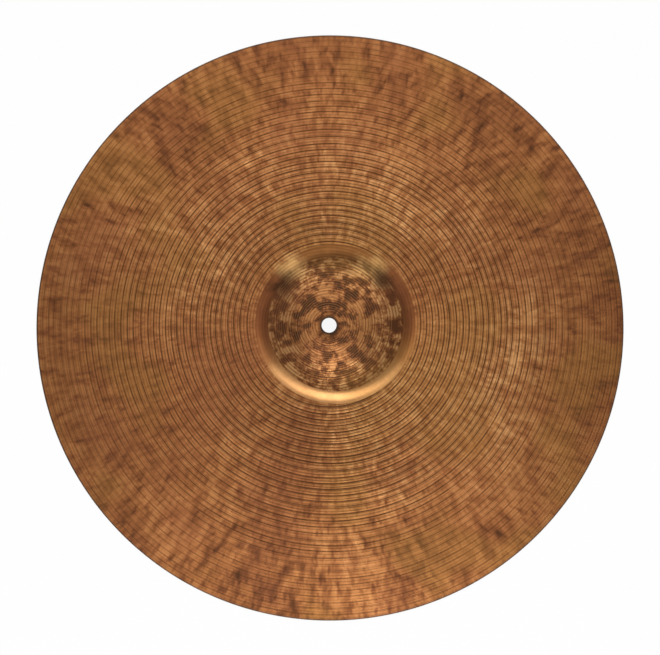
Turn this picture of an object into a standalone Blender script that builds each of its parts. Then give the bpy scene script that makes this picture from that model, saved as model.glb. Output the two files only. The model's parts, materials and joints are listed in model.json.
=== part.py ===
# Ride cymbal, 20 inch: one disc of bronze, pressed, hammered and lathed.
# Metres, +Z up through the bell. The origin is the centre of the plane that the rim lies in.

import math

import bmesh
import bpy

# Overall form. Heights are measured on the upper face.
CYMBAL_DIAMETER = 0.508
BOW_HEIGHT = 0.0250          # rise of the bow from the rim to the edge of the bell
BELL_DIAMETER = 0.124        # circle where the dome of the bell would cut the bow
BELL_HEIGHT = 0.0215         # rise of the bell from that circle to the crown
FOOT_RADIUS = 0.0200         # hollow curve that carries the bell into the bow
CROWN_LAND_DIAMETER = 0.024  # flat round the hole, where the felts bear
HOLE_DIAMETER = 0.0127

# The wall gets thinner from the crown to the rim.
CROWN_THICKNESS = 0.0019
BELL_THICKNESS = 0.0017
BOW_THICKNESS = 0.0014
RIM_THICKNESS = 0.0010

# Turned edges.
RIM_LAND_WIDTH = 0.0005      # flat on the lowest edge of the rim
EDGE_BREAK = 0.00015         # small bevel on the edges of the rim and the hole

# Work done by hand, so the bell and the hole aren't quite central.
BELL_OFFSET = (0.0047, 0.0)
HOLE_OFFSET = (-0.0008, -0.0029)
BELL_OFFSET_FADE = 0.045     # width of bow over which the rings become central again

# Hammer marks: rows of shallow dents in the bow, pressed through the whole wall.
HAMMER_DEPTH = 0.00035
HAMMER_ROW_PITCH = 0.0260
HAMMER_SPACING = 0.0300
HAMMER_TURN = 2.4            # radians from one row's first dent to the next row's

# Lathe work: shallow tonal grooves turned into the upper face of the bow.
GROOVE_COUNT = 14
GROOVE_DEPTH = 0.00012
GROOVE_WALL_SHARE = 0.2      # share of the pitch taken by the steep side of a groove

# Facets.
SEGMENTS = 72
BELL_STEPS = 6
FOOT_STEPS = 4
UNDERSIDE_BOW_STEPS = 14

# Golden brown of old bronze.
BRONZE_COLOUR = (0.27, 0.12, 0.045, 1.0)
BRONZE_ROUGHNESS = 0.38

RIM_RADIUS = CYMBAL_DIAMETER / 2
BELL_RADIUS = BELL_DIAMETER / 2
LAND_RADIUS = CROWN_LAND_DIAMETER / 2
HOLE_RADIUS = HOLE_DIAMETER / 2


class Dome:
    """A round cap on the Z axis that falls by `fall` between two circles, the inner one at height `top`."""

    def __init__(self, inner_radius, outer_radius, fall, top):
        depth = (outer_radius ** 2 - inner_radius ** 2 + fall ** 2) / (2 * fall)
        self.radius = math.hypot(inner_radius, depth)
        self.centre = top - depth

    def slope(self, radius):
        return math.asin(radius / self.radius)

    def height(self, radius):
        return self.centre + self.radius * math.cos(self.slope(radius))


class Foot:
    """The hollow fillet that touches the bell's dome on its inside and the bow's dome on its outside."""

    def __init__(self, bell, bow, radius):
        reach_bell = bell.radius + radius
        reach_bow = bow.radius + radius
        rise = bell.centre - bow.centre
        along = (reach_bow ** 2 - reach_bell ** 2 - rise ** 2) / (2 * rise)
        self.radius = radius
        self.centre_height = bell.centre + along
        self.centre_radius = math.sqrt(reach_bell ** 2 - along ** 2)
        self.inner_slope = math.asin(self.centre_radius / reach_bell)
        self.outer_slope = math.asin(self.centre_radius / reach_bow)
        self.inner_radius = bell.radius * math.sin(self.inner_slope)
        self.outer_radius = bow.radius * math.sin(self.outer_slope)

    def point(self, slope):
        return (self.centre_radius - self.radius * math.sin(slope),
                self.centre_height - self.radius * math.cos(slope))


def blend(start, end, share):
    return start + (end - start) * share


def smooth(share):
    """0 to 1 with level ends."""
    share = min(max(share, 0.0), 1.0)
    return share * share * (3 - 2 * share)


def design():
    """The bow, bell and foot, with the rim's flat at height 0."""
    bow = Dome(BELL_RADIUS, RIM_RADIUS, BOW_HEIGHT, BOW_HEIGHT)
    rim_slope = bow.slope(RIM_RADIUS)
    rim_drop = RIM_LAND_WIDTH * math.tan(rim_slope)
    bell_edge_height = BOW_HEIGHT + RIM_THICKNESS / math.cos(rim_slope) - rim_drop
    bow = Dome(BELL_RADIUS, RIM_RADIUS, BOW_HEIGHT, bell_edge_height)
    bell = Dome(LAND_RADIUS, BELL_RADIUS, BELL_HEIGHT, bell_edge_height + BELL_HEIGHT)
    return bow, bell, Foot(bell, bow, FOOT_RADIUS)


def wall_thickness(radius, foot):
    """Taper from crown to rim, straight between the named thicknesses."""
    steps = ((LAND_RADIUS, CROWN_THICKNESS), (foot.inner_radius, BELL_THICKNESS),
             (foot.outer_radius, BOW_THICKNESS), (RIM_RADIUS, RIM_THICKNESS))
    if radius <= LAND_RADIUS:
        return CROWN_THICKNESS
    for (inner, thick), (outer, thin) in zip(steps, steps[1:]):
        if radius <= outer:
            return blend(thick, thin, (radius - inner) / (outer - inner))
    return RIM_THICKNESS


def bell_stations(bell, foot):
    """(radius, height, slope) on the upper face from the edge of the crown's flat to the bow."""
    crown_height = bell.height(LAND_RADIUS)
    stations = [(LAND_RADIUS, crown_height, 0.0)]
    for step in range(1, BELL_STEPS + 1):
        radius = blend(LAND_RADIUS, foot.inner_radius, step / BELL_STEPS)
        stations.append((radius, bell.height(radius), bell.slope(radius)))
    for step in range(1, FOOT_STEPS + 1):
        slope = blend(foot.inner_slope, foot.outer_slope, step / FOOT_STEPS)
        radius, height = foot.point(slope)
        stations.append((radius, height, slope))
    return stations


def below(station, foot):
    """The point of the lower face under a station, one wall thickness along the surface's normal."""
    radius, height, slope = station
    thickness = wall_thickness(radius, foot)
    return radius - thickness * math.sin(slope), height - thickness * math.cos(slope)


def grooved_bow(bow, foot):
    """Upper face of the bow: each tonal groove has a steep outer-facing wall and a long back."""
    last = RIM_RADIUS - EDGE_BREAK
    pitch = (last - foot.outer_radius) / GROOVE_COUNT
    points = []
    for groove in range(GROOVE_COUNT):
        crest = foot.outer_radius + groove * pitch
        bottom = crest + GROOVE_WALL_SHARE * pitch
        if groove > 0:
            points.append((crest, bow.height(crest)))
        points.append((bottom, bow.height(bottom) - GROOVE_DEPTH))
    points.append((last, bow.height(last)))
    return points


def plain_bow_underside(bow, foot):
    """Lower face of the bow, from the foot to the flat of the rim, where it reaches height 0."""
    last = RIM_RADIUS - RIM_LAND_WIDTH
    points = []
    for step in range(1, UNDERSIDE_BOW_STEPS):
        radius = blend(foot.outer_radius, last, step / UNDERSIDE_BOW_STEPS)
        points.append(below((radius, bow.height(radius), bow.slope(radius)), foot))
    points.append((last, 0.0))
    return points


def rim_edge(bow):
    """Bevelled edge of the rim, from the upper face down to the flat."""
    return [(RIM_RADIUS, bow.height(RIM_RADIUS) - EDGE_BREAK),
            (RIM_RADIUS, EDGE_BREAK),
            (RIM_RADIUS - EDGE_BREAK, 0.0)]


def hole_edge(crown_height):
    """Bevelled edge of the hole, from the lower face up to the upper one."""
    floor = crown_height - CROWN_THICKNESS
    return [(HOLE_RADIUS + EDGE_BREAK, floor),
            (HOLE_RADIUS, floor + EDGE_BREAK),
            (HOLE_RADIUS, crown_height - EDGE_BREAK),
            (HOLE_RADIUS + EDGE_BREAK, crown_height)]


def outline():
    """Closed section of the wall as (radius, height): out along the top, back along the underside."""
    bow, bell, foot = design()
    stations = bell_stations(bell, foot)
    top = [station[:2] for station in stations] + grooved_bow(bow, foot)
    underside = [below(station, foot) for station in stations] + plain_bow_underside(bow, foot)
    return top + rim_edge(bow) + underside[::-1] + hole_edge(stations[0][1]), foot


def hammer_dent(radius, angle, foot):
    """How deep a dent is here, 0 to 1. Each row has its own number of dents round the bow."""
    room = RIM_RADIUS - foot.outer_radius
    rows = max(1, round(room / HAMMER_ROW_PITCH))
    place = (radius - foot.outer_radius) / room * rows
    if not 0 < place < rows:
        return 0.0
    row = int(place)
    row_radius = foot.outer_radius + (row + 0.5) * room / rows
    dents = round(2 * math.pi * row_radius / HAMMER_SPACING)
    across = math.sin(math.pi * (place - row)) ** 2
    around = 0.5 + 0.5 * math.cos(dents * angle + row * HAMMER_TURN)
    return across * around


def ring_centre(radius, foot):
    """Centre of the ring of a given radius: the hole's, then the bell's, then the rim's."""
    to_bell = smooth((radius - LAND_RADIUS) / (foot.inner_radius - LAND_RADIUS))
    to_rim = smooth((radius - foot.outer_radius) / BELL_OFFSET_FADE)
    return [blend(blend(hole, bell, to_bell), 0.0, to_rim)
            for hole, bell in zip(HOLE_OFFSET, BELL_OFFSET)]


def revolve(points):
    """A closed solid of revolution from a closed section."""
    mesh = bmesh.new()
    corners = [mesh.verts.new((radius, 0.0, height)) for radius, height in points]
    edges = [mesh.edges.new((corner, corners[index - 1])) for index, corner in enumerate(corners)]
    bmesh.ops.spin(mesh, geom=corners + edges, cent=(0, 0, 0), axis=(0, 0, 1),
                   angle=2 * math.pi, steps=SEGMENTS)
    bmesh.ops.remove_doubles(mesh, verts=mesh.verts, dist=1e-6)
    bmesh.ops.recalc_face_normals(mesh, faces=mesh.faces)
    return mesh


def work_by_hand(mesh, foot):
    """Hammer the bow, then shift the rings of the bell and the hole off the rim's centre."""
    for corner in mesh.verts:
        radius = math.hypot(corner.co.x, corner.co.y)
        angle = math.atan2(corner.co.y, corner.co.x)
        corner.co.z -= HAMMER_DEPTH * hammer_dent(radius, angle, foot)
        shift_x, shift_y = ring_centre(radius, foot)
        corner.co.x += shift_x
        corner.co.y += shift_y


def bronze():
    material = bpy.data.materials.new("bronze")
    material.use_nodes = True
    shader = material.node_tree.nodes["Principled BSDF"]
    shader.inputs["Base Color"].default_value = BRONZE_COLOUR
    shader.inputs["Metallic"].default_value = 1.0
    shader.inputs["Roughness"].default_value = BRONZE_ROUGHNESS
    return material


def make_cymbal():
    section, foot = outline()
    mesh = revolve(section)
    work_by_hand(mesh, foot)
    data = bpy.data.meshes.new("cymbal")
    mesh.to_mesh(data)
    mesh.free()
    data.shade_smooth()
    data.set_sharp_from_angle(angle=math.radians(35))
    data.materials.append(bronze())
    cymbal = bpy.data.objects.new("cymbal", data)
    bpy.context.scene.collection.objects.link(cymbal)


def main():
    for old in list(bpy.data.objects):
        bpy.data.objects.remove(old, do_unlink=True)
    make_cymbal()


main()
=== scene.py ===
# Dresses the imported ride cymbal: its lathe grooves, hammer marks and aged bronze, on a pale floor.

import json
import math

import bpy
import numpy as np
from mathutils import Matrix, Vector


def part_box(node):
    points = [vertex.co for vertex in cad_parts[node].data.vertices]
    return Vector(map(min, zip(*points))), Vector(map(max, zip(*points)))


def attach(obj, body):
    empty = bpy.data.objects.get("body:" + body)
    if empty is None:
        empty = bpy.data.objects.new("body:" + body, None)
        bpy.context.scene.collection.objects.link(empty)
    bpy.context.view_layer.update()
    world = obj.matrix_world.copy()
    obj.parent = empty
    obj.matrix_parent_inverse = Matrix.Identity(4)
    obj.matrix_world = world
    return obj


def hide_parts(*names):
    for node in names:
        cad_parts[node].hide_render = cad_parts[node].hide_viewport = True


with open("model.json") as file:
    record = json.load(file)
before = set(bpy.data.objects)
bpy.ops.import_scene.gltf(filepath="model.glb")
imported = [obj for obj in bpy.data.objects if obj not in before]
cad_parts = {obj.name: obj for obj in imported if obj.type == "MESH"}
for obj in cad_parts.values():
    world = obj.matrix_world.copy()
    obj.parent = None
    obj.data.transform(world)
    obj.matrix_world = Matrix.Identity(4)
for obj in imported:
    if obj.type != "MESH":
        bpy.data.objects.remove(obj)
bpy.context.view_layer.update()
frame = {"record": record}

# Sizes of the disc, in metres. The rim, the crown's height and the hole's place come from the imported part.
LOW_CORNER, HIGH_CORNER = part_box("cymbal")
RIM_RADIUS = (HIGH_CORNER[0] - LOW_CORNER[0]) / 2
CROWN_HEIGHT = HIGH_CORNER[2]
BOW_HEIGHT = 0.0250
BELL_RADIUS = 0.0620
BELL_HEIGHT = 0.0215
FOOT_RADIUS = 0.0200
LAND_RADIUS = 0.0120
HOLE_RADIUS = 0.00635
CROWN_THICKNESS = 0.0019
BELL_THICKNESS = 0.0017
BOW_THICKNESS = 0.0014
RIM_THICKNESS = 0.0010
RIM_LAND_WIDTH = 0.0005
EDGE_BREAK = 0.00015

# The bell and the hole are off centre. Their shifts die out over the fades, and the heights blend into the
# flat crown and the level rim over the blends.
BELL_OFFSET = (0.0047, 0.0)
BELL_OFFSET_FADE = 0.045
HOLE_OFFSET_FADE = 0.050
LAND_BLEND = 0.002
RIM_BLEND = 0.004

# Tonal grooves of the bow. Their pitch drifts in waves of (share, turn from groove to groove, start), and
# their depth fades by these shares at these radii.
GROOVE_PITCH = 0.0054
GROOVE_PITCH_DRIFT = 0.0011
DRIFT_WAVES = ((0.6, 1.90, 0.0), (0.4, 0.73, 1.0))
GROOVE_HALF_WIDTH = 0.00065
GROOVE_DEPTH = 0.00010
FIRST_GROOVE_GAP = 0.003
LAST_GROOVE_GAP = 0.005
FADE_RADII = (0.068, 0.085, 0.150, 0.215, 0.254)
FADE_SHARES = (0.7, 1.0, 0.9, 0.5, 0.3)

# The grooves waver on their way round, in waves of (share, lobes, twist per metre of radius, start).
GROOVE_WAVER = 0.000175
WAVER_WAVES = ((1.0, 3, 90.0, 0.0), (0.7, 5, -160.0, 1.0), (0.5, 2, 0.0, 2.0))
WAVER_FADE = 0.010

# Ring grooves of the bell, and the pitch of the fine spiral that the material draws over the whole disc.
BELL_GROOVE_PITCH = 0.0019
BELL_GROOVE_DEPTH = 0.00007
BELL_GROOVE_HALF_SHARE = 0.15
BELL_GROOVES_GAP = 0.004
FINE_GROOVE_PITCH = 0.0026

# Hammer marks, pressed through the wall.
HAMMER_DEPTH = 0.00030
HAMMER_ROW_PITCH = 0.0260
HAMMER_SPACING = 0.0300
HAMMER_TURN = 2.4

# How finely the disc is divided.
SEGMENTS = 300
FOOT_STEPS = 8
FOOT_ROWS_SHIFT = 0.0005
LAST_LAND_GAP = 0.0030
RIM_ROW_GAP = 0.0015
UNDERSIDE_BOW_ROWS = 30
UNDERSIDE_BELL_ROWS = 18
UNDERSIDE_RIM_GAP = 0.004
UNDERSIDE_FOOT_GAP = 0.002
UNDERSIDE_LAND_GAP = 0.001
SLOPE_STEP = 0.00005
CLOSING_ROUNDS = 12
TOLERANCE = 0.00001
SHARP_EDGE = math.radians(30)


def opening_middle(name):
    """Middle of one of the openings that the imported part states."""
    for hollow in frame["record"]["physics"]["openings"]:
        if hollow["name"] == name:
            low, high = hollow["box_m"]
            return [(a + b) / 2 for a, b in zip(low, high)]
    raise ValueError("the packed part has no opening " + name)


HOLE_OFFSET = opening_middle("mounting_hole")[:2]


class Dome:
    """A round cap on the Z axis that falls by `fall` between two circles, the inner one at height `top`."""

    def __init__(self, inner_radius, outer_radius, fall, top):
        depth = (outer_radius ** 2 - inner_radius ** 2 + fall ** 2) / (2 * fall)
        self.radius = math.hypot(inner_radius, depth)
        self.centre = top - depth

    def height(self, radius):
        return self.centre + np.sqrt(self.radius ** 2 - np.square(radius))


class Form:
    """The upper face of the disc: crown, bell, hollow foot and bow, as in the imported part."""

    def __init__(self):
        edge_height = CROWN_HEIGHT - BELL_HEIGHT
        self.bow = Dome(BELL_RADIUS, RIM_RADIUS, BOW_HEIGHT, edge_height)
        self.bell = Dome(LAND_RADIUS, BELL_RADIUS, BELL_HEIGHT, CROWN_HEIGHT)
        reach_bell = self.bell.radius + FOOT_RADIUS
        reach_bow = self.bow.radius + FOOT_RADIUS
        rise = self.bell.centre - self.bow.centre
        along = (reach_bow ** 2 - reach_bell ** 2 - rise ** 2) / (2 * rise)
        self.foot_height = self.bell.centre + along
        self.foot_centre = math.sqrt(reach_bell ** 2 - along ** 2)
        self.foot_inner = self.bell.radius * self.foot_centre / reach_bell
        self.foot_outer = self.bow.radius * self.foot_centre / reach_bow

    def height(self, radius):
        radius = np.asarray(radius, dtype=float)
        hollow = np.clip(FOOT_RADIUS ** 2 - (self.foot_centre - radius) ** 2, 0, None)
        foot = self.foot_height - np.sqrt(hollow)
        bell = self.bell.height(np.clip(radius, LAND_RADIUS, BELL_RADIUS))
        bow = self.bow.height(np.clip(radius, BELL_RADIUS, RIM_RADIUS))
        return np.where(radius < self.foot_inner, bell, np.where(radius < self.foot_outer, foot, bow))

    def slope(self, radius):
        fall = float(self.height(radius - SLOPE_STEP) - self.height(radius + SLOPE_STEP))
        return math.atan2(fall, 2 * SLOPE_STEP)

    def thickness(self, radius):
        places = (LAND_RADIUS, self.foot_inner, self.foot_outer, RIM_RADIUS)
        return np.interp(radius, places, (CROWN_THICKNESS, BELL_THICKNESS, BOW_THICKNESS, RIM_THICKNESS))


FORM = Form()


def smooth(share):
    """0 to 1 with level ends."""
    share = np.clip(share, 0, 1)
    return share * share * (3 - 2 * share)


def bow_groove_radii():
    """Radii of the tonal grooves: their pitch drifts, as the tool was led by hand."""
    radii = []
    radius = FORM.foot_outer + FIRST_GROOVE_GAP
    while radius < RIM_RADIUS - LAST_GROOVE_GAP:
        radii.append(radius)
        turn = len(radii)
        drift = sum(share * math.sin(step * turn + start) for share, step, start in DRIFT_WAVES)
        radius += GROOVE_PITCH + GROOVE_PITCH_DRIFT * drift
    return radii


def groove_depth(radius):
    """Depth of a groove: on the bow they are deep near the bell and shallow towards the rim."""
    if radius < FORM.foot_inner:
        return BELL_GROOVE_DEPTH
    return GROOVE_DEPTH * float(np.interp(radius, FADE_RADII, FADE_SHARES))


def crown_rows():
    """Flat land round the hole. Every row is (radius, share of a groove's depth)."""
    return [(HOLE_RADIUS + EDGE_BREAK, 0.0), (0.5 * (HOLE_RADIUS + LAND_RADIUS), 0.0), (LAND_RADIUS, 0.0)]


def bell_rows():
    """Evenly spaced grooves over the bell, each a row at its bottom between two at its edges."""
    room = FORM.foot_inner - BELL_GROOVES_GAP - LAND_RADIUS
    count = round(room / BELL_GROOVE_PITCH)
    pitch = room / count
    half_width = BELL_GROOVE_HALF_SHARE * pitch
    rows = []
    for turn in range(count):
        middle = LAND_RADIUS + (turn + 0.5) * pitch
        rows += [(middle - half_width, 0.0), (middle, 1.0), (middle + half_width, 0.0)]
    return rows


def foot_rows():
    """The smooth foot of the bell."""
    first = FORM.foot_inner - BELL_GROOVES_GAP
    width = FORM.foot_outer - first
    return [(first + FOOT_ROWS_SHIFT + width * step / FOOT_STEPS, 0.0) for step in range(FOOT_STEPS + 1)]


def bow_rows():
    """Each tonal groove, then two rows on the land up to the next one."""
    radii = bow_groove_radii()
    rows = []
    for radius, following in zip(radii, radii[1:] + [RIM_RADIUS - LAST_LAND_GAP]):
        edge = radius + GROOVE_HALF_WIDTH
        land = following - GROOVE_HALF_WIDTH - edge
        rows += [(radius - GROOVE_HALF_WIDTH, 0.0), (radius, 1.0), (edge, 0.0)]
        rows += [(edge + land / 3, 0.0), (edge + land * 2 / 3, 0.0)]
    return rows


def rim_rows():
    """The outermost land, up to the broken edge."""
    return [(RIM_RADIUS - RIM_ROW_GAP, 0.0), (RIM_RADIUS - EDGE_BREAK, 0.0)]


def upper_section():
    """Upper face from the edge of the hole to the rim: corners of (radius, height, groove share)."""
    section = []
    for radius, share in crown_rows() + bell_rows() + foot_rows() + bow_rows() + rim_rows():
        section.append((radius, float(FORM.height(radius)) - groove_depth(radius) * share, share))
    return section


def through_wall(radius):
    """Corner on the lower face, square through the wall from the upper face at a radius."""
    slope = FORM.slope(radius)
    thickness = float(FORM.thickness(radius))
    height = float(FORM.height(radius)) - thickness * math.cos(slope)
    return (radius - thickness * math.sin(slope), height, 0.0)


def under_section():
    """Lower face from the rim's flat land to the edge of the hole."""
    land = [(RIM_RADIUS - EDGE_BREAK, 0.0, 0.0), (RIM_RADIUS - RIM_LAND_WIDTH, 0.0, 0.0)]
    bow = np.linspace(RIM_RADIUS - UNDERSIDE_RIM_GAP, FORM.foot_outer, UNDERSIDE_BOW_ROWS)
    bell = np.linspace(FORM.foot_outer - UNDERSIDE_FOOT_GAP, LAND_RADIUS + UNDERSIDE_LAND_GAP,
                       UNDERSIDE_BELL_ROWS)
    wall = [through_wall(radius) for radius in (*bow, *bell)]
    ceiling = CROWN_HEIGHT - CROWN_THICKNESS
    crown = [(LAND_RADIUS, ceiling, 0.0), (HOLE_RADIUS + EDGE_BREAK, ceiling, 0.0)]
    return land + wall + crown


def disc_section():
    """Closed section of the wall, with broken edges at the rim and the hole."""
    upper = upper_section()
    rim_top = upper[-1][1]
    rim = [(RIM_RADIUS, rim_top - EDGE_BREAK, 0.0), (RIM_RADIUS, EDGE_BREAK, 0.0)]
    hole = [(HOLE_RADIUS, CROWN_HEIGHT - CROWN_THICKNESS + EDGE_BREAK, 0.0),
            (HOLE_RADIUS, CROWN_HEIGHT - EDGE_BREAK, 0.0)]
    return upper + rim + under_section() + hole


def deselect_everything():
    bpy.ops.object.select_all(action="DESELECT")


def spin_disc(section):
    """A loop of corners on the section, spun round the Z axis into a closed disc."""
    deselect_everything()
    bpy.ops.mesh.primitive_circle_add(vertices=len(section), radius=RIM_RADIUS, fill_type="NOTHING")
    disc = bpy.context.object
    disc.name = "bronze_disc"
    for corner, (radius, height, _) in zip(disc.data.vertices, section):
        corner.co = (radius, 0.0, height)
    bpy.ops.object.mode_set(mode="EDIT")
    bpy.ops.mesh.select_all(action="SELECT")
    bpy.ops.mesh.spin(steps=SEGMENTS, angle=2 * math.pi, center=(0, 0, 0), axis=(0, 0, 1))
    bpy.ops.mesh.select_all(action="SELECT")
    bpy.ops.mesh.remove_doubles(threshold=TOLERANCE)
    bpy.ops.mesh.normals_make_consistent(inside=False)
    bpy.ops.object.mode_set(mode="OBJECT")
    return disc


def form_centre(radius):
    """Centre of the pressed form at a radius: the hole's, then the bell's, then the rim's."""
    to_bell = smooth((radius - LAND_RADIUS) / (FORM.foot_inner - LAND_RADIUS))
    to_rim = smooth((radius - FORM.foot_outer) / BELL_OFFSET_FADE)
    return [(hole + (bell - hole) * to_bell) * (1 - to_rim) for hole, bell in zip(HOLE_OFFSET, BELL_OFFSET)]


def form_radius(x, y):
    """Radius on the pressed form at a place, found by closing in on its shifted centre."""
    radius = np.hypot(x, y)
    for _ in range(CLOSING_ROUNDS):
        centre_x, centre_y = form_centre(radius)
        radius = np.hypot(x - centre_x, y - centre_y)
    return radius


def hammer_dents(radius, angle):
    """Depth of the hammer marks, 0 to 1, in rows that each have their own number of dents."""
    room = RIM_RADIUS - FORM.foot_outer
    rows = round(room / HAMMER_ROW_PITCH)
    place = (radius - FORM.foot_outer) / room * rows
    row = np.clip(np.floor(place), 0, rows - 1)
    row_radius = FORM.foot_outer + (row + 0.5) * room / rows
    dents = np.round(2 * math.pi * row_radius / HAMMER_SPACING)
    across = np.where((place > 0) & (place < rows), np.sin(math.pi * (place - row)) ** 2, 0)
    return across * (0.5 + 0.5 * np.cos(dents * angle + row * HAMMER_TURN))


def wavered(turned, angle):
    """Radius at which the tool really cut, where it was set to cut at `turned`."""
    wave = sum(share * np.sin(lobes * angle + twist * turned + start)
               for share, lobes, twist, start in WAVER_WAVES)
    on_bow = smooth((turned - FORM.foot_outer) / WAVER_FADE) * smooth((RIM_RADIUS - turned) / WAVER_FADE)
    return turned + GROOVE_WAVER * wave * on_bow


def store(disc, name, values):
    """Keep a value for each corner of the mesh, for the material to read."""
    attribute = disc.data.attributes.new(name, "FLOAT", "POINT")
    attribute.data.foreach_set("value", np.asarray(values, dtype=np.float32))


def work_disc(disc, section):
    """Shift the bell and the hole off centre, let the grooves waver and hammer the bow."""
    count = len(disc.data.vertices)
    places = np.empty(count * 3)
    disc.data.vertices.foreach_get("co", places)
    places = places.reshape(-1, 3)
    turned = np.hypot(places[:, 0], places[:, 1])
    angle = np.arctan2(places[:, 1], places[:, 0])
    radius = wavered(turned, angle)

    from_crown = smooth((turned - LAND_RADIUS) / HOLE_OFFSET_FADE)
    x = radius * np.cos(angle) + HOLE_OFFSET[0] * (1 - from_crown)
    y = radius * np.sin(angle) + HOLE_OFFSET[1] * (1 - from_crown)
    formed = form_radius(x, y)
    free = smooth((turned - LAND_RADIUS) / LAND_BLEND) * smooth((RIM_RADIUS - turned) / RIM_BLEND)
    places[:, 2] += (FORM.height(formed) - FORM.height(turned)) * free
    places[:, 2] -= HAMMER_DEPTH * hammer_dents(formed, angle)
    places[:, 0] = x
    places[:, 1] = y
    disc.data.vertices.foreach_set("co", places.ravel())
    disc.data.update()

    # The spin lays out the mesh one section after another, so the groove shares repeat.
    groove_shares = np.array([share for _, _, share in section])
    store(disc, "groove", groove_shares[np.arange(count) % len(section)])
    store(disc, "lathe_radius", radius)
    store(disc, "form_radius", formed)


# The polished band at the bell's foot begins and ends between these radii of the pressed form.
BAND_BEGINS = (0.0574, 0.0588)
BAND_ENDS = (0.0680, 0.0692)

# The marks' noises. Drawing out divides the coordinates by this power of the radius, so that the marks
# lengthen towards the rim.
MARK_DRAW = 0.50
STREAK_DRAW = 0.62
LEAST_RADIUS = 0.004
BLOTCHES = {"scale": 52.0, "detail": 2.0, "roughness": 0.55}
SPOTS = {"scale": 95.0, "detail": 1.0, "roughness": 0.5}
STREAKS = {"scale": 46.0, "detail": 3.0, "roughness": 0.6}
LINE_WEAR = {"scale": 25.0, "detail": 2.0, "roughness": 0.5}
REGIONS = {"scale": 9.0, "detail": 2.0, "roughness": 0.5}
HUES = {"scale": 13.0, "detail": 1.0, "roughness": 0.5}
MOTTLE = {"scale": 105.0, "detail": 3.0, "roughness": 0.66}
GRAIN = {"scale": 900.0, "detail": 2.0, "roughness": 0.6}

# Tones run from 0, a dark mark, to 1, bare gold. A noise darkens as it rises from its low limit to its high.
BOW_TONE_RADII = (0.12, 0.24)
BOW_TONES = (0.79, 0.64)
STREAK_SWING = 0.55
BLOTCH_LIMITS = (0.38, 0.78)
BLOTCH_DARKENING = 0.38
SPOT_LIMITS = (0.50, 0.80)
SPOT_DARKENING = 0.30
GRAIN_SWING = 0.25
REGION_SWING = 0.80
BELL_TONE_RADII = (0.030, 0.048)
BELL_TONES = (0.78, 1.06)
MOTTLE_LIMITS = (0.38, 0.64)
MOTTLE_DARKENING = 0.94
# The foot's painted highlight: its tone rises towards the near side.
BAND_HIGHLIGHT_PLACES = (0.010, -0.050)
BAND_HIGHLIGHT_TONES = (0.36, 0.98)
BAND_SWING = 0.30

# Colours, in display values of 0 to 255, and how much of each is laid over the patina. Limits in falling
# order lay a colour where the noise is low.
PATINA = ((0.00, (46, 25, 17)), (0.30, (86, 48, 28)), (0.55, (110, 67, 37)),
          (0.78, (130, 86, 50)), (1.00, (164, 120, 76)))
OLIVE_GOLD = (116, 82, 38)
OLIVE_LIMITS = (0.52, 0.66)
OLIVE_SHARE = 0.35
PURPLE_BROWN = (98, 55, 36)
PURPLE_LIMITS = (0.48, 0.34)
PURPLE_SHARE = 0.30
TONAL_DIRT = (48, 24, 12)
TONAL_DIRT_GAIN = 3.8
FINE_DIRT = (66, 36, 18)
FINE_DIRT_GAIN = 1.05
CREST = (165, 120, 78)
CREST_SHARE = 0.24
BELL_RING = (170, 124, 80)
BELL_RING_SHARE = 0.30
# Darker colour along the rim and round the hole.
RIM_DARKENING = (62, 46, 36)
RIM_DARKENING_GAPS = (0.0018, 0.0006)
RIM_DARKENING_SHARE = 0.75
HOLE_DARKENING = (50, 36, 26)
HOLE_DARKENING_RADII = (0.0092, 0.0074)
HOLE_DARKENING_SHARE = 0.85

# Painted highlights and painted shade on the bell's far shoulders, and one faint dark stain on its near
# side: place and reach, colour, greatest share.
PAINTED_HIGHLIGHT_GOLD = (186, 146, 92)
DARK_SHADE_AND_STAIN = (38, 24, 16)
SHOULDER_HEIGHT = 0.033
SHOULDER_HIGHLIGHTS_SHADE_AND_STAIN = (
    ((-0.0340, 0.0500, 0.016), PAINTED_HIGHLIGHT_GOLD, 0.75),
    ((0.0375, 0.0500, 0.017), PAINTED_HIGHLIGHT_GOLD, 0.75),
    ((-0.0400, 0.0335, 0.014), DARK_SHADE_AND_STAIN, 0.85),
    ((0.0460, 0.0385, 0.013), DARK_SHADE_AND_STAIN, 0.85),
    ((0.0270, -0.0280, 0.010), DARK_SHADE_AND_STAIN, 0.50),
)
PATCH_EDGE = 1.2
PATCH_CORE = 0.1
PATCH_RAGGEDNESS = 0.03

# The tool's fine lines: how wide they are, and how they fade towards the rim and on the polished foot, most
# on its near side as part of the painted highlight there.
FINE_LINE_LIMITS = (0.16, 0.42)
FINER_LINES = 3.0
CREST_LIMITS = (0.25, 0.50)
LINE_FADE_RADII = (0.240, 0.110)
LINE_FADE = (0.35, 1.0)
POLISH_AND_HIGHLIGHT_PLACES = (0.020, -0.050)
POLISH_AND_HIGHLIGHT_SHARES = (0.45, 1.0)

# Gloss and relief. The bump is fine, and everything larger is in the mesh.
MARK_ROUGHNESS = 0.52
BARE_ROUGHNESS = 0.34
GRAIN_ROUGHNESS = 0.12
ANISOTROPY = 0.65
FINE_RELIEF = -0.5
FINER_RELIEF = 0.35
STREAK_RELIEF = 0.9
GRAIN_RELIEF = 0.12
BUMP_STRENGTH = 0.55
BUMP_DISTANCE = 0.00018


def srgb(red, green, blue):
    """A colour given in 0 to 255 display values, as the shaders want it."""
    values = []
    for part in (red, green, blue):
        share = part / 255
        values.append(share / 12.92 if share <= 0.04045 else ((share + 0.055) / 1.055) ** 2.4)
    return (*values, 1.0)


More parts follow.
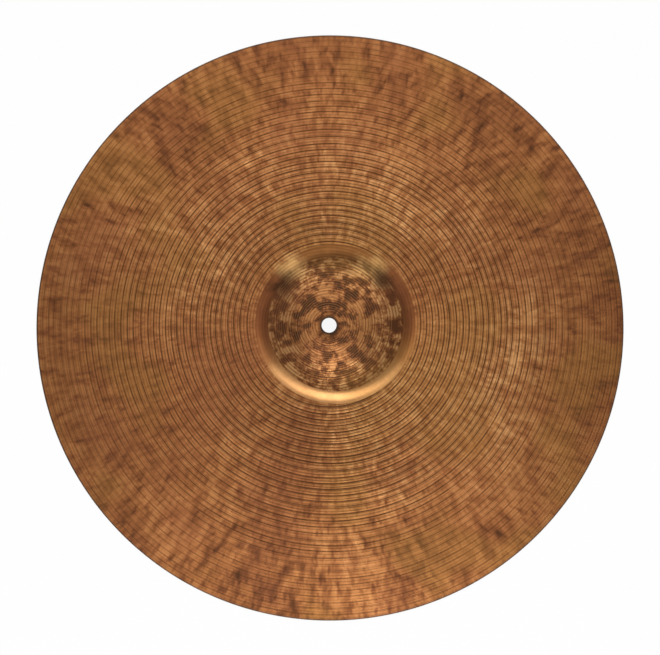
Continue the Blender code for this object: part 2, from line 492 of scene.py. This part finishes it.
class Finish:
    """Short names for building one material's nodes."""

    def __init__(self, name):
        self.material = bpy.data.materials.new(name)
        self.material.use_nodes = True
        self.tree = self.material.node_tree
        self.shader = self.tree.nodes["Principled BSDF"]

    def plug(self, value, socket):
        if isinstance(value, bpy.types.NodeSocket):
            self.tree.links.new(value, socket)
        else:
            socket.default_value = value

    def math(self, operation, first, second=0.0, clamp=False):
        node = self.tree.nodes.new("ShaderNodeMath")
        node.operation = operation
        node.use_clamp = clamp
        self.plug(first, node.inputs[0])
        self.plug(second, node.inputs[1])
        return node.outputs[0]

    def add(self, first, second):
        return self.math("ADD", first, second)

    def minus(self, first, second):
        return self.math("SUBTRACT", first, second)

    def times(self, first, second, clamp=False):
        return self.math("MULTIPLY", first, second, clamp)

    def swing(self, noise, amount):
        """A noise as a swing to both sides of zero."""
        return self.times(self.minus(noise, 0.5), amount)

    def spread(self, value, low, high, start=0.0, end=1.0):
        """Smooth step from start to end as value goes from low to high."""
        node = self.tree.nodes.new("ShaderNodeMapRange")
        node.interpolation_type = "SMOOTHSTEP"
        self.plug(value, node.inputs["Value"])
        self.plug(low, node.inputs["From Min"])
        self.plug(high, node.inputs["From Max"])
        self.plug(start, node.inputs["To Min"])
        self.plug(end, node.inputs["To Max"])
        return node.outputs["Result"]

    def attribute(self, name):
        node = self.tree.nodes.new("ShaderNodeAttribute")
        node.attribute_name = name
        return node.outputs["Fac"]

    def noise(self, vector, scale, detail, roughness):
        node = self.tree.nodes.new("ShaderNodeTexNoise")
        self.plug(vector, node.inputs["Vector"])
        node.inputs["Scale"].default_value = scale
        node.inputs["Detail"].default_value = detail
        node.inputs["Roughness"].default_value = roughness
        return node.outputs["Fac"]

    def tint(self, share, colour, display_colour):
        """A colour with a share of another one, given in display values, laid over it."""
        node = self.tree.nodes.new("ShaderNodeMix")
        node.data_type = "RGBA"
        self.plug(share, node.inputs["Factor"])
        self.plug(colour, node.inputs["A"])
        self.plug(srgb(*display_colour), node.inputs["B"])
        return node.outputs["Result"]

    def distance(self, vector, point):
        node = self.tree.nodes.new("ShaderNodeVectorMath")
        node.operation = "DISTANCE"
        self.plug(vector, node.inputs[0])
        node.inputs[1].default_value = point
        return node.outputs["Value"]

    def vector(self, x, y, z):
        node = self.tree.nodes.new("ShaderNodeCombineXYZ")
        for value, socket in zip((x, y, z), node.inputs):
            self.plug(value, socket)
        return node.outputs[0]

    def ramp(self, share, stops):
        node = self.tree.nodes.new("ShaderNodeValToRGB")
        self.plug(share, node.inputs[0])
        elements = node.color_ramp.elements
        while len(elements) < len(stops):
            elements.new(0.5)
        for element, (place, display_colour) in zip(elements, stops):
            element.position = place
            element.color = srgb(*display_colour)
        return node.outputs["Color"]


class Zones:
    """Where a point of the disc lies: its coordinates, its groove and its zone."""

    def __init__(self, f):
        self.place = f.tree.nodes.new("ShaderNodeTexCoord").outputs["Object"]
        split = f.tree.nodes.new("ShaderNodeSeparateXYZ")
        f.plug(self.place, split.inputs[0])
        self.x, self.y, _ = split.outputs
        self.radius = f.math("SQRT", f.add(f.times(self.x, self.x), f.times(self.y, self.y)))
        self.angle = f.math("ARCTAN2", self.y, self.x)
        self.groove = f.attribute("groove")
        self.lathe = f.attribute("lathe_radius")
        self.form = f.attribute("form_radius")
        self.bell = f.spread(self.form, *reversed(BAND_BEGINS))
        self.band = f.times(f.spread(self.form, *BAND_BEGINS), f.spread(self.form, *reversed(BAND_ENDS)))
        self.bow = f.spread(self.form, *BAND_ENDS)


def drawn_out(f, zones, power):
    """Coordinates on which marks are drawn out along the radius."""
    squeeze = f.math("POWER", f.math("MAXIMUM", zones.radius, LEAST_RADIUS), -power)
    return f.vector(f.times(zones.x, squeeze), f.times(zones.y, squeeze), 0.0)


class Marks:
    """The noises that the patina follows."""

    def __init__(self, f, zones):
        radial = drawn_out(f, zones, MARK_DRAW)
        streaked = drawn_out(f, zones, STREAK_DRAW)
        self.blotches = f.noise(radial, **BLOTCHES)
        self.spots = f.noise(radial, **SPOTS)
        self.streaks = f.noise(streaked, **STREAKS)
        self.line_wear = f.noise(streaked, **LINE_WEAR)
        self.regions = f.noise(zones.place, **REGIONS)
        self.hues = f.noise(zones.place, **HUES)
        self.mottle = f.noise(zones.place, **MOTTLE)
        self.grain = f.noise(zones.place, **GRAIN)


def triangle_wave(f, turns):
    """0.5 at each whole turn and 0 half way between."""
    return f.math("ABSOLUTE", f.minus(f.math("FRACT", turns), 0.5))


class Lathing:
    """The fine lines that the tool left: a spiral of one start between the modelled grooves."""

    def __init__(self, f, zones, marks):
        along = f.math("DIVIDE", zones.lathe, FINE_GROOVE_PITCH)
        turns = f.minus(along, f.math("DIVIDE", zones.angle, 2 * math.pi))
        self.fine = f.spread(triangle_wave(f, turns), *FINE_LINE_LIMITS)
        self.finer = triangle_wave(f, f.times(turns, FINER_LINES))
        # The foot is polished all round, and more on its near side as a painted highlight that clears the
        # lines.
        polish_and_highlight = f.times(zones.band, f.spread(zones.y, *POLISH_AND_HIGHLIGHT_PLACES, *POLISH_AND_HIGHLIGHT_SHARES))
        self.outside_polish_and_highlight = f.minus(1.0, polish_and_highlight)
        fade = f.spread(zones.radius, *LINE_FADE_RADII, *LINE_FADE)
        self.strength = f.times(f.times(fade, self.outside_polish_and_highlight), marks.line_wear)


def bow_tone(f, zones, marks):
    """Streaked metal with dark blotches and spots."""
    tone = f.add(f.spread(zones.radius, *BOW_TONE_RADII, *BOW_TONES), f.swing(marks.streaks, STREAK_SWING))
    tone = f.minus(tone, f.times(f.spread(marks.blotches, *BLOTCH_LIMITS), BLOTCH_DARKENING))
    tone = f.minus(tone, f.times(f.spread(marks.spots, *SPOT_LIMITS), SPOT_DARKENING))
    tone = f.add(tone, f.swing(marks.grain, GRAIN_SWING))
    return f.add(tone, f.swing(marks.regions, REGION_SWING))


def bell_tone(f, zones, marks):
    """Gold with dark mottling."""
    clean = f.spread(zones.form, *BELL_TONE_RADII, *BELL_TONES)
    return f.minus(clean, f.times(f.spread(marks.mottle, *MOTTLE_LIMITS), MOTTLE_DARKENING))


def band_tone_and_highlight(f, zones, marks):
    """The polished foot, with a painted highlight that makes it brightest on the near side."""
    near_highlight = f.spread(zones.y, *BAND_HIGHLIGHT_PLACES, *BAND_HIGHLIGHT_TONES)
    return f.add(near_highlight, f.swing(marks.mottle, BAND_SWING))


def patina_and_highlight_tone(f, zones, marks):
    """Tone of the whole disc, each zone with its own; the foot's has a painted highlight on its near side.
    """
    bow = f.times(bow_tone(f, zones, marks), zones.bow)
    bell = f.times(bell_tone(f, zones, marks), zones.bell)
    band = f.times(band_tone_and_highlight(f, zones, marks), zones.band)
    return f.add(f.add(bow, bell), band)


def shoulder_highlights_shade_and_stain(f, zones, marks, colour):
    """Painted golden highlights and painted shade on the bell's far shoulders, and one faint dark stain on
    its near side.
    """
    for (x, y, reach), display_colour, greatest in SHOULDER_HIGHLIGHTS_SHADE_AND_STAIN:
        away = f.distance(zones.place, (x, y, SHOULDER_HEIGHT))
        ragged = f.add(away, f.swing(marks.mottle, PATCH_RAGGEDNESS))
        share = f.times(f.spread(ragged, PATCH_EDGE * reach, PATCH_CORE * reach), greatest)
        colour = f.tint(share, colour, display_colour)
    return colour


def drifting_hues(f, marks, colour):
    """Olive gold and purple brown drift over the disc."""
    olive = f.times(f.spread(marks.hues, *OLIVE_LIMITS), OLIVE_SHARE)
    purple = f.times(f.spread(marks.hues, *PURPLE_LIMITS), PURPLE_SHARE)
    return f.tint(purple, f.tint(olive, colour, OLIVE_GOLD), PURPLE_BROWN)


def lathe_lines(f, zones, lathing, colour):
    """Dirt in the grooves of the bow and the spiral, bare metal on its crests and on the bell's rings."""
    tonal = f.times(f.times(zones.groove, lathing.strength), zones.bow)
    colour = f.tint(f.times(tonal, TONAL_DIRT_GAIN, clamp=True), colour, TONAL_DIRT)
    fine = f.times(lathing.fine, lathing.strength)
    colour = f.tint(f.times(fine, FINE_DIRT_GAIN), colour, FINE_DIRT)
    crest = f.times(f.spread(lathing.finer, *CREST_LIMITS), lathing.outside_polish_and_highlight)
    colour = f.tint(f.times(crest, CREST_SHARE), colour, CREST)
    return f.tint(f.times(f.times(zones.groove, zones.bell), BELL_RING_SHARE), colour, BELL_RING)


def edge_darkening(f, zones, colour):
    """Darker along the rim and round the hole."""
    rim = f.spread(zones.radius, *(RIM_RADIUS - gap for gap in RIM_DARKENING_GAPS))
    colour = f.tint(f.times(rim, RIM_DARKENING_SHARE), colour, RIM_DARKENING)
    hole = f.spread(f.distance(zones.place, (*HOLE_OFFSET, CROWN_HEIGHT)), *HOLE_DARKENING_RADII)
    return f.tint(f.times(hole, HOLE_DARKENING_SHARE), colour, HOLE_DARKENING)


def roughness(f, marks, tone):
    """Marks are duller than the bare metal between them."""
    by_tone = f.spread(tone, 0.0, 1.0, MARK_ROUGHNESS, BARE_ROUGHNESS)
    return f.add(by_tone, f.swing(marks.grain, GRAIN_ROUGHNESS))


def turning_direction(f):
    """Tangent that runs round the Z axis, as the lathe marks do."""
    tangent = f.tree.nodes.new("ShaderNodeTangent")
    tangent.direction_type = "RADIAL"
    tangent.axis = "Z"
    return tangent.outputs[0]


def fine_relief(f, marks, lathing):
    """Normal with the fine lines, the streaks and the grain in it."""
    relief = f.times(f.times(lathing.fine, lathing.outside_polish_and_highlight), FINE_RELIEF)
    relief = f.add(relief, f.times(f.times(lathing.finer, lathing.outside_polish_and_highlight), FINER_RELIEF))
    relief = f.add(relief, f.times(marks.streaks, STREAK_RELIEF))
    relief = f.add(relief, f.times(marks.grain, GRAIN_RELIEF))
    bump = f.tree.nodes.new("ShaderNodeBump")
    bump.inputs["Strength"].default_value = BUMP_STRENGTH
    bump.inputs["Distance"].default_value = BUMP_DISTANCE
    f.plug(relief, bump.inputs["Height"])
    return bump.outputs[0]


def aged_bronze():
    """Hammered and lathed bronze under a golden-brown patina, with painted highlights and painted shade on
    the bell and its foot.
    """
    f = Finish("aged_bronze")
    zones = Zones(f)
    marks = Marks(f, zones)
    lathing = Lathing(f, zones, marks)
    tone = patina_and_highlight_tone(f, zones, marks)
    colour = f.ramp(tone, PATINA)
    # Painted golden highlights and painted shade on the bell's shoulders, and one faint dark stain.
    colour = shoulder_highlights_shade_and_stain(f, zones, marks, colour)
    colour = drifting_hues(f, marks, colour)
    colour = lathe_lines(f, zones, lathing, colour)
    colour = edge_darkening(f, zones, colour)
    f.plug(colour, f.shader.inputs["Base Color"])
    f.plug(roughness(f, marks, tone), f.shader.inputs["Roughness"])
    f.plug(fine_relief(f, marks, lathing), f.shader.inputs["Normal"])
    f.plug(turning_direction(f), f.shader.inputs["Tangent"])
    f.shader.inputs["Metallic"].default_value = 1.0
    f.shader.inputs["Anisotropic"].default_value = ANISOTROPY
    return f.material


def make_disc():
    """The one piece of the cymbal."""
    section = disc_section()
    disc = spin_disc(section)
    work_disc(disc, section)
    deselect_everything()
    disc.select_set(True)
    bpy.context.view_layer.objects.active = disc
    bpy.ops.object.shade_smooth_by_angle(angle=SHARP_EDGE)
    disc.data.materials.append(aged_bronze())
    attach(disc, "root")
    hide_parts("cymbal")
    return disc


# The stage: a pale floor and soft lamps, placed by azimuth and elevation. Azimuth 0 is +X and 90 is +Y.
FLOOR_SIZE = 12.0
FLOOR_GAP = 0.0002
FLOOR_GREY = 0.9
FLOOR_ROUGHNESS = 0.9
FLOOR_OWN_LIGHT = 0.94
SHY_OF_WHITE = 0.98
WORLD_LIGHT = 0.5
LAMP_DISTANCE = 2.0
LAMPS = (
    {"name": "lamp_far_left", "azimuth": 120, "elevation": 50, "width": 0.7, "height": 1.4, "watts": 10},
    {"name": "lamp_far_right", "azimuth": 60, "elevation": 50, "width": 0.7, "height": 1.4, "watts": 10},
    {"name": "lamp_near", "azimuth": 270, "elevation": 55, "width": 1.2, "height": 1.2, "watts": 24},
)


def sees_background(tree):
    """1 for camera, glossy and transmission rays."""
    path = tree.nodes.new("ShaderNodeLightPath")
    total = path.outputs["Is Camera Ray"]
    for name in ("Is Glossy Ray", "Is Transmission Ray"):
        node = tree.nodes.new("ShaderNodeMath")
        node.operation = "MAXIMUM"
        tree.links.new(total, node.inputs[0])
        tree.links.new(path.outputs[name], node.inputs[1])
        total = node.outputs[0]
    return total


def pale_floor():
    """A floor that shows nearly white and keeps a little of the disc's shadow."""
    deselect_everything()
    bpy.ops.mesh.primitive_plane_add(size=FLOOR_SIZE, location=(0, 0, -FLOOR_GAP))
    floor = bpy.context.object
    floor.name = "pale_floor"
    material = bpy.data.materials.new("pale_floor")
    material.use_nodes = True
    tree = material.node_tree
    shader = tree.nodes["Principled BSDF"]
    shader.inputs["Base Color"].default_value = (FLOOR_GREY, FLOOR_GREY, FLOOR_GREY, 1)
    shader.inputs["Roughness"].default_value = FLOOR_ROUGHNESS
    shader.inputs["Specular IOR Level"].default_value = 0.0
    glow = tree.nodes.new("ShaderNodeEmission")
    glow.inputs["Color"].default_value = (1, 1, 1, 1)
    glow.inputs["Strength"].default_value = SHY_OF_WHITE
    share = tree.nodes.new("ShaderNodeMath")
    share.operation = "MULTIPLY"
    tree.links.new(sees_background(tree), share.inputs[0])
    share.inputs[1].default_value = FLOOR_OWN_LIGHT
    mixer = tree.nodes.new("ShaderNodeMixShader")
    tree.links.new(share.outputs[0], mixer.inputs[0])
    tree.links.new(shader.outputs[0], mixer.inputs[1])
    tree.links.new(glow.outputs[0], mixer.inputs[2])
    tree.links.new(mixer.outputs[0], tree.nodes["Material Output"].inputs["Surface"])
    floor.data.materials.append(material)


def pale_world():
    """Soft light from all sides, which shows as nearly white."""
    world = bpy.data.worlds.new("pale_world")
    bpy.context.scene.world = world
    world.use_nodes = True
    tree = world.node_tree
    background = tree.nodes["Background"]
    background.inputs["Color"].default_value = (1, 1, 1, 1)
    level = tree.nodes.new("ShaderNodeMapRange")
    tree.links.new(sees_background(tree), level.inputs["Value"])
    level.inputs["To Min"].default_value = WORLD_LIGHT
    level.inputs["To Max"].default_value = SHY_OF_WHITE
    tree.links.new(level.outputs["Result"], background.inputs["Strength"])


def soft_lamp(name, azimuth, elevation, width, height, watts):
    """A rectangular lamp that faces the disc."""
    side, up = math.radians(azimuth), math.radians(elevation)
    direction = Vector((math.cos(side) * math.cos(up), math.sin(side) * math.cos(up), math.sin(up)))
    light = bpy.data.lights.new(name, "AREA")
    light.shape = "RECTANGLE"
    light.size = width
    light.size_y = height
    light.energy = watts
    lamp = bpy.data.objects.new(name, light)
    lamp.location = direction * LAMP_DISTANCE
    lamp.rotation_euler = (-direction).to_track_quat("-Z", "Y").to_euler()
    bpy.context.scene.collection.objects.link(lamp)


# The camera of the photograph, nearly straight above. The rim's width in the picture sets the lens.
PHOTO_WIDTH_PX = 660
RIM_WIDTH_PX = 587
CAMERA_DISTANCE = 3.2
CAMERA_TILT = math.radians(4.5)
AIM = (0.0, -0.0011)
SENSOR_MM = 36.0


def photo_camera():
    """The camera, a little to the near side of the disc and tilted back at it."""
    data = bpy.data.cameras.new("photo_camera")
    frame_width = 2 * RIM_RADIUS * PHOTO_WIDTH_PX / RIM_WIDTH_PX
    data.sensor_width = SENSOR_MM
    data.lens = SENSOR_MM * CAMERA_DISTANCE / frame_width
    camera = bpy.data.objects.new("photo_camera", data)
    camera.location = (AIM[0], AIM[1] - CAMERA_DISTANCE * math.sin(CAMERA_TILT),
                       CAMERA_DISTANCE * math.cos(CAMERA_TILT))
    camera.rotation_euler = (CAMERA_TILT, 0, 0)
    bpy.context.scene.collection.objects.link(camera)
    bpy.context.scene.camera = camera


make_disc()
pale_floor()
pale_world()
for lamp_settings in LAMPS:
    soft_lamp(**lamp_settings)
photo_camera()
bpy.context.scene.view_settings.view_transform = "Standard"
